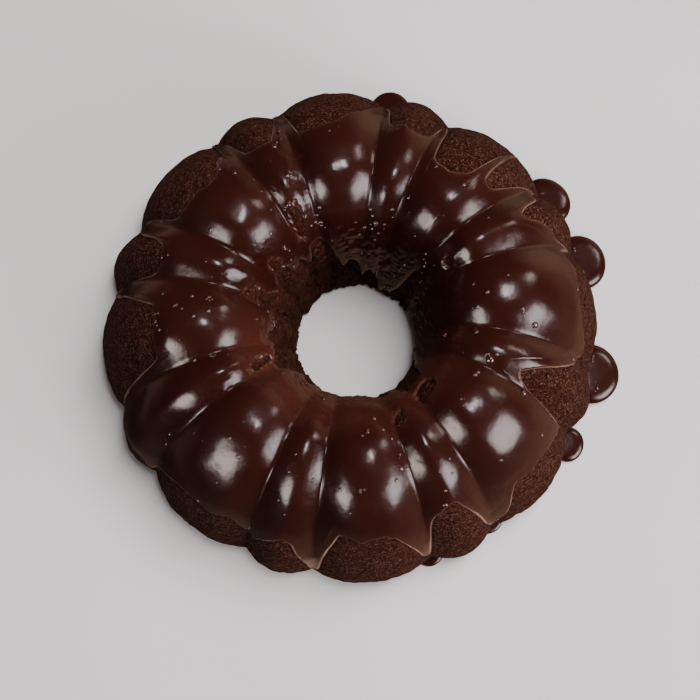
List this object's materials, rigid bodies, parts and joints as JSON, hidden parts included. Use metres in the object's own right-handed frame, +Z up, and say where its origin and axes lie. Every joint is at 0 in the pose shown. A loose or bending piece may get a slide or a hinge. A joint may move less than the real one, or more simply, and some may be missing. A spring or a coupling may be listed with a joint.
{
  "type": "bundt cake",
  "caption": "Fluted chocolate ring cake with a round centre hole, a poured glossy ganache coat that runs down the grooves, and ganache beads at its foot.",
  "frame": {"origin": "middle of the footprint of cake and beads, on the surface the cake stands on; the axis of the ring itself is at x = -6.9 mm, y = -3.2 mm", "axes": "+Z up along the axis of the ring, -Y towards the viewer of the picture, +X to the viewer's right"},
  "size_m": [0.2632, 0.2558, 0.086],
  "materials": {
    "cake_crumb": "fine open crumb, dull, very dark brown",
    "ganache": "wet glossy, nearly black red-brown"
  },
  "bodies": {
    "root": {"cake": "cake_crumb", "ganache": "ganache", "ganache_bead_1": "ganache", "ganache_bead_2": "ganache", "ganache_bead_3": "ganache", "ganache_bead_4": "ganache", "ganache_bead_5": "ganache", "ganache_bead_6": "ganache", "ganache_bead_7": "ganache"}
  },
  "joints": []
}
